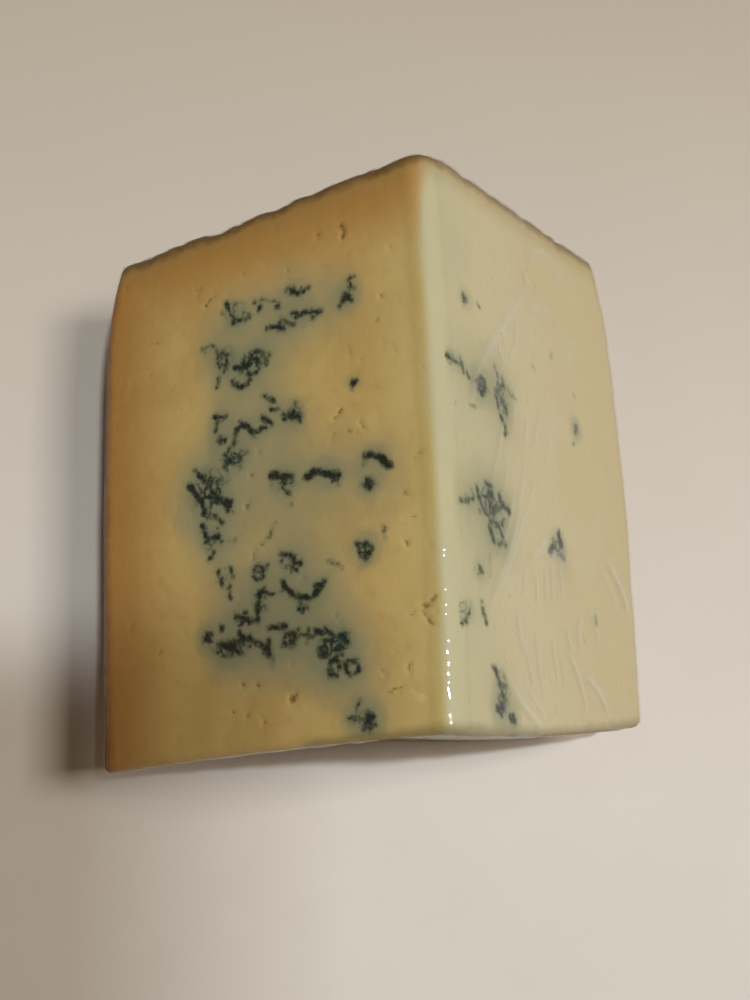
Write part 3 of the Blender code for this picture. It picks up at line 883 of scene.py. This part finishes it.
# %% Surface of the cheese
inputs = {"Value": layer["rind edge"], "From Min": 0.0, "From Max": 1.0, "To Min": 0.8, "To Max": 0.5}
roughness = add(tree, "MapRange", inputs).outputs[0]
relief = add(tree, "Bump", {"Height": texture["grain"], "Distance": 0.06 * MM, "Strength": 0.6})
surface = add(
    tree,
    "BsdfPrincipled",
    {"Base Color": colour, "Roughness": roughness, "Specular IOR Level": 0.25, "Normal": relief.outputs[0]},
)
tree.links.new(surface.outputs[0], output.inputs["Surface"])

cheese_mesh.materials.append(cheese_finish)
cheese = bpy.data.objects.new("cheese", cheese_mesh)
bpy.context.scene.collection.objects.link(cheese)
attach(cheese, "root")
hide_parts("cheese_wedge")
print("cheese material nodes:", len(tree.nodes))

# %% [markdown]
# ## The film
#
# Cling film is a clear sheet of plastic about a hundredth of a millimetre thick. Stretched over the cheese, it
# touches the left face all over and cannot be seen there but for its shine. On the right face it stands off a
# little, in long fine folds that run from the far corner down to the sharp edge, and looks milky. The film is
# gathered on the two end faces.
#
# The film could be a cloth simulation, but its folds are in known places and it does not move, so the folds are
# shaped directly: each is a low ridge on a skin that lies on the solid.

# %% Skin of the film
FILM_PITCH = 0.46 * MM
FILM_STEPS = {"tip": 10, "left": 96, "corner": 6, "heel": 40, "right": 146}

film_body, film_ends, _ = wedge_skin(0.0, FILM_PITCH, FILM_STEPS, (34, 34), rim_steps=6)
film_mesh = skin_mesh("film", film_body, film_ends, FILM_STEPS)
film_points, film_normals = points_of(film_mesh)
film_across, film_along = across_of(film_points), along_of(film_points)
film_left = (film_normals[:, 0] < -0.3) & (film_normals[:, 2] > 0.3)
film_right = (film_normals[:, 0] > 0.3) & (film_normals[:, 2] > 0.3)
print("film points:", len(film_points), "quads:", len(film_mesh.polygons))

# %% Long folds on the right face
FOLDS = [
    # from across, along, to across, along, bend, height and half width in mm
    (46, 42, 33, 37, -2.3, 0.35, 0.60), (33, 37, 34, 33, -1.0, 0.30, 0.50), (34, 33, 10, 10, -0.7, 0.50, 0.55),
    (19, 20, 21, 15, 0.2, 0.35, 0.35), (28, 27, 22, 15, 1.3, 0.35, 0.40), (30, 28, 43, 31, 0.2, 0.25, 0.50),
    (52, 43, 41, 35, 0.0, 0.22, 0.35), (23, 23, 21, 18, 0.3, 0.22, 0.35), (13, 15, 8, 4, 0.4, 0.25, 0.40),
    (25, 12, 22, 2, 0.0, 0.22, 0.30), (29, 9, 26, 1, 0.2, 0.24, 0.35), (35, 10, 30, 2, -0.5, 0.30, 0.40),
    (45, 12, 32, 4, 0.4, 0.28, 0.45), (38, 7, 33, -1, 0.3, 0.24, 0.40), (20, 6, 13, -8, 0.4, 0.22, 0.30),
    (27, 0, 22, -10, 0.3, 0.26, 0.30), (30, -2, 24, -12, 0.4, 0.24, 0.30), (20, -3, 16, -10, 0.2, 0.20, 0.30),
    (26, -8, 10, -27, 1.3, 0.38, 0.32), (24, -8, 11, -25, 1.2, 0.36, 0.30), (22, -6, 14, -19, 0.9, 0.26, 0.28),
    (33, -13, 25, -18, 0.2, 0.45, 0.60), (29, -17, 41, -16, 0.5, 0.28, 0.50), (24, -19, 22, -25, 0.0, 0.26, 0.35),
    (28, -19, 27, -26, 0.0, 0.30, 0.40), (31, -18, 31, -25, 0.0, 0.26, 0.35), (34, -17, 33, -25, 0.0, 0.30, 0.40),
    (37, -17, 37, -24, 0.2, 0.22, 0.45), (56, -14, 67, -26, 1.4, 0.45, 0.60), (53, -16, 62, -26, 1.2, 0.20, 0.45),
    (20, -26, 23, -35, -1.0, 0.28, 0.35), (22, -28, 25, -40, -0.8, 0.24, 0.30), (26, -28, 28, -42, -0.5, 0.24, 0.30),
    (21, -38, 29, -44, -0.4, 0.28, 0.35), (15, -37, 28, -46, -0.9, 0.45, 0.50), (35, -33, 36, -39, 0.0, 0.24, 0.35),
    (32, -29, 34, -40, -0.4, 0.22, 0.30), (37, -32, 44, -44, 1.3, 0.34, 0.40), (42, -36, 54, -45, 1.6, 0.45, 0.50),
    (37, -28, 40, -34, 0.2, 0.24, 0.40), (45, -25, 43, -33, -1.2, 0.28, 0.45), (48, -24, 51, -31, 0.4, 0.22, 0.45),
    (52, 30, 44, 18, 0.5, 0.16, 0.60), (5, 20, 2, -4, 0.2, 0.14, 0.30), (3, -14, 2, -40, 0.2, 0.10, 0.30),
]


SOFTNESS = 1.9  # how much wider the folds are drawn, so that the mesh can hold them


def ridge(points, start, end, half_width, bend):
    """Height of a long low fold between two places, 1 on its crest, as it thins out towards its ends."""
    run = np.subtract(end, start)
    length = np.linalg.norm(run)
    way = run / length
    gone = (points - start) @ way / length
    off = (points - start) @ np.array((-way[1], way[0])) - bend * np.sin(np.pi * np.clip(gone, 0, 1))
    taper = np.clip(np.minimum(gone, 1 - gone) * 4, 0, 1)
    return taper * np.exp(-((off / half_width) ** 2))


height = np.zeros(len(film_points))
crease = np.zeros(len(film_points))
places = np.stack((film_across, film_along), axis=1)
number = np.flatnonzero(film_right)
for a, b, c, d, bend, tall, half_width in FOLDS:
    crest = ridge(places[number], (a, b), (c, d), SOFTNESS * half_width, bend)
    height[number] += tall * crest
    crease[number] = np.maximum(crease[number], crest * min(1.0, tall * 2.5))

# %% Fine creases
CREASE_LENGTH = 16.0  # millimetres along a fine crease of the right face, and across it
CREASE_WIDTH = 1.3
LEAN = math.radians(22)  # the way the fine creases of the right face run, from the length of the wedge

for i in np.flatnonzero(film_right):
    a, b = places[i]
    run, off = b * math.cos(LEAN) + a * math.sin(LEAN), a * math.cos(LEAN) - b * math.sin(LEAN)
    sharp = 1 - 2 * abs(noise.noise(Vector((run / CREASE_LENGTH, off / CREASE_WIDTH, 0))))
    gathered = 0.5 + 0.5 * noise.noise(Vector((a / 14, b / 14, 5)))
    sharp = max(0.0, sharp - 0.50) * gathered * max(0.15, 1 - abs(a - 24) / 26)
    height[i] += 0.24 * sharp
    crease[i] = max(crease[i], 1.1 * sharp)
for i in np.flatnonzero(film_left):
    a, b = places[i]
    edge = max(0.0, 1 - min(70 - a, 46 - b, b + 49) / 7)
    sharp = max(0.0, 0.8 - 2 * abs(noise.noise(Vector((a / 2.2, b / 7, 9)))))
    height[i] += 0.12 * sharp * (0.05 + edge)
    crease[i] = max(crease[i], 0.12 * sharp * edge)

# %% Small tucks that catch the light
TUCKS = [
    # side, across, along, depth and half width in mm
    (1, 0.2, 44.2, 0.12, 0.5), (1, 0.3, 42.0, 0.10, 0.5), (1, 0.8, 25.2, 0.16, 0.6), (1, 0.9, 23.6, 0.18, 0.7),
    (1, 0.7, 22.2, 0.14, 0.5), (-1, 0.8, 20.7, 0.14, 0.6), (1, 0.3, 12.4, 0.12, 0.6), (1, 0.4, 8.0, 0.10, 0.6),
    (1, 1.1, 0.4, 0.12, 0.6), (1, 1.4, -1.4, 0.14, 0.6), (1, 1.8, -3.2, 0.12, 0.5), (-1, 0.2, -11.3, 0.10, 0.5),
    (-1, 1.5, -38.8, 0.12, 0.4), (-1, 2.7, -42.1, 0.14, 0.4), (1, 1.0, -40.0, 0.12, 0.4),
    (-1, 7.8, -38.9, 0.40, 0.7), (-1, 6.6, -40.0, 0.45, 0.8), (-1, 5.5, -40.2, 0.40, 0.6), (-1, 4.1, -39.8, 0.25, 0.4),
    (-1, 10.3, -41.8, 0.30, 0.4), (-1, 14.4, -42.0, 0.30, 0.5), (-1, 29.9, -41.6, 0.35, 0.5),
    (-1, 28.1, -41.0, 0.35, 0.6), (-1, 27.2, -42.6, 0.30, 0.5), (-1, 9.4, -37.8, 0.25, 0.4),
    (1, 31.3, -42.3, 0.40, 0.6), (1, 29.0, -43.4, 0.30, 0.5),
    (-1, 65.5, 20.4, 0.35, 0.6), (-1, 67.5, 21.6, 0.30, 0.6), (-1, 66.4, 18.8, 0.30, 0.7), (-1, 68.6, 15.0, 0.25, 0.5),
    (-1, 58.1, -5.3, 0.25, 0.6), (-1, 52.2, -8.5, 0.25, 0.6), (-1, 67.0, -22.6, 0.25, 0.6), (-1, 47.5, -18.2, 0.2, 0.5),
]

beside = np.where(film_points[:, 0] > SHARP_EDGE[0], film_across, -film_across)
tucked = np.zeros(len(film_points))
for side, a, b, deep, half_width in TUCKS:
    stretch = 1.0 + chance.random()
    gone = ((beside - side * a) / half_width) ** 2 + ((film_along - b) / (half_width * stretch)) ** 2
    dent_here = np.where(np.abs(film_normals[:, 1]) < 0.6, np.exp(-gone), 0.0)
    tucked = tucked + deep * dent_here
for i in np.flatnonzero(film_across < 6):
    x, y, z = film_points[i] / MM
    tucked[i] += 0.03 + 0.03 * noise.noise(Vector((x / 3, y / 9, z / 3))) + 0.02 * noise.noise(Vector((x, y / 1.6, z)))
print("tallest fold, mm:", round(float(height.max()), 2), "deepest tuck, mm:", round(float(tucked.max()), 2))

# %% Gathers on the end faces
PLEATS = 26
PLEAT_HEIGHT = 0.5

on_ends = np.abs(film_normals[:, 1]) > 0.6
centre_x = FORM_SHIFT[0] / MM
centre_z = (FORM_SHIFT[2] + SECTION_CENTRE[1]) / MM
for i in np.flatnonzero(on_ends):
    x, y, z = film_points[i] / MM
    radius = math.hypot(x - centre_x, z - centre_z)
    angle = math.atan2(z - centre_z, x - centre_x)
    swirl = angle + 0.012 * radius * math.copysign(1, y)
    wave = noise.noise(Vector((math.cos(swirl) * PLEATS / 6, math.sin(swirl) * PLEATS / 6, y / 9 + radius / 40)))
    sharp = max(0.0, 1 - 3.2 * abs(wave))
    fade = min(1.0, radius / 6)
    height[i] += PLEAT_HEIGHT * sharp * fade - PLEAT_HEIGHT
    crease[i] = max(crease[i], 0.8 * sharp * fade)

# %% The lip along the near rim
EDGE_RIPPLE = 0.14  # the film dips by up to this much along the sharp edge, which breaks up the bright line there
LIP_REACH = 0.85
LIP_FROM, LIP_TO = -12.0, 18.0

near_rim = np.clip((-44.0 - film_along) / 2.0, 0, 1)
window = np.clip(np.minimum(beside - LIP_FROM, LIP_TO - beside) / 4, 0, 1)
on_rim = np.exp(-(((np.abs(film_normals[:, 1]) - 0.75) / 0.22) ** 2)) * near_rim * window
ripple = np.sin(1.46 * film_along) + np.sin(2.2 * film_along + 1) + np.sin(0.9 * film_along + 2)
tucked = tucked + EDGE_RIPPLE * (3 + ripple) / 6 * np.exp(-((beside_of(film_points) / 2.4) ** 2))
film_points = worn(film_points + film_normals * (height - tucked)[:, None] * MM)
film_points[:, 1] -= LIP_REACH * on_rim * MM
crease = np.maximum(crease, 0.8 * on_rim)
film_points = np.clip(film_points, box_low, box_high)
write_points(film_mesh, film_points)

over_edge = smooth((beside_of(film_points) + 1.8) / 1.6) * (0.55 + 0.45 * smooth((film_across - 6) / 20))
off_cheese = np.where(film_left, 0.04, over_edge)
off_cheese = np.where(np.abs(film_normals[:, 1]) > 0.9, 0.5, off_cheese * (np.abs(film_normals[:, 1]) < 0.3))
write_layer(film_mesh, "crease", crease)
write_layer(film_mesh, "loose", off_cheese)
print("film inside the box:", bool((film_points >= box_low - 1e-6).all() and (film_points <= box_high + 1e-6).all()))

# %% [markdown]
# ## The finish of the film
#
# Polythene film is clear and very smooth, with an index of 1.5. What the eye sees is its shine: bright lines where
# it turns over the sharp edge. Where it stands off the cheese or is creased, it scatters some light and looks
# white. So the material is clear plastic mixed with a little white haze, under a sharp reflection that grows
# towards grazing angles.

# %% Film material
film_finish, tree, output = new_material("clear_polythene_cling_film")
layer = {name: add(tree, "Attribute", attribute_name=name).outputs["Fac"] for name in ("crease", "loose")}
place = add(tree, "TexCoord").outputs["Object"]
mist = add(tree, "TexNoise", {"Vector": place, "Scale": 1 / (9 * MM), "Detail": 3.0}).outputs[0]
ripple = add(tree, "VectorMath", {0: place, 1: (0.12, 1.0, 0.12)}, operation="MULTIPLY").outputs[0]
ripples = add(tree, "TexNoise", {"Vector": ripple, "Scale": 1 / (1.6 * MM), "Detail": 1.0}).outputs[0]

HEAD_ON = 0.05  # share of light that both sides of the sheet send back from straight ahead
GRAZING = 0.5  # and the most that it sends back from its turned edges, which are never quite smooth
HAZE = 0.12
CREASE_HAZE = 0.24
inputs = {"Value": mist, "From Min": 0.0, "From Max": 1.0, "To Min": 0.0, "To Max": HAZE}
haze = add(tree, "MapRange", inputs).outputs[0]
haze = add(tree, "Math", {0: layer["loose"], 1: haze}, operation="MULTIPLY").outputs[0]
haze = add(tree, "Math", {0: layer["crease"], 1: CREASE_HAZE, 2: haze}, operation="MULTIPLY_ADD", use_clamp=True)
clear = add(tree, "BsdfTransparent")
white = add(tree, "BsdfPrincipled", {"Base Color": linear("EBEADC"), "Roughness": 0.4, "IOR": 1.5})
sheet = add(tree, "MixShader", {0: haze.outputs[0], 1: clear.outputs[0], 2: white.outputs[0]})
relief = add(tree, "Bump", {"Height": ripples, "Distance": 0.06 * MM, "Strength": 1.0})
shine = add(tree, "BsdfGlossy", {"Roughness": 0.045, "Normal": relief.outputs[0]})
turned_away = add(tree, "LayerWeight", {"Blend": 0.5}).outputs["Facing"]
rise = add(tree, "Math", {0: turned_away, 1: 5.0}, operation="POWER")
glancing = add(tree, "Math", {0: rise.outputs[0], 1: GRAZING - HEAD_ON, 2: HEAD_ON}, operation="MULTIPLY_ADD")
skin = add(tree, "MixShader", {0: glancing.outputs[0], 1: sheet.outputs[0], 2: shine.outputs[0]})
tree.links.new(skin.outputs[0], output.inputs["Surface"])

film_mesh.materials.append(film_finish)
film = bpy.data.objects.new("film", film_mesh)
bpy.context.scene.collection.objects.link(film)
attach(film, "root")
print("film material nodes:", len(tree.nodes))
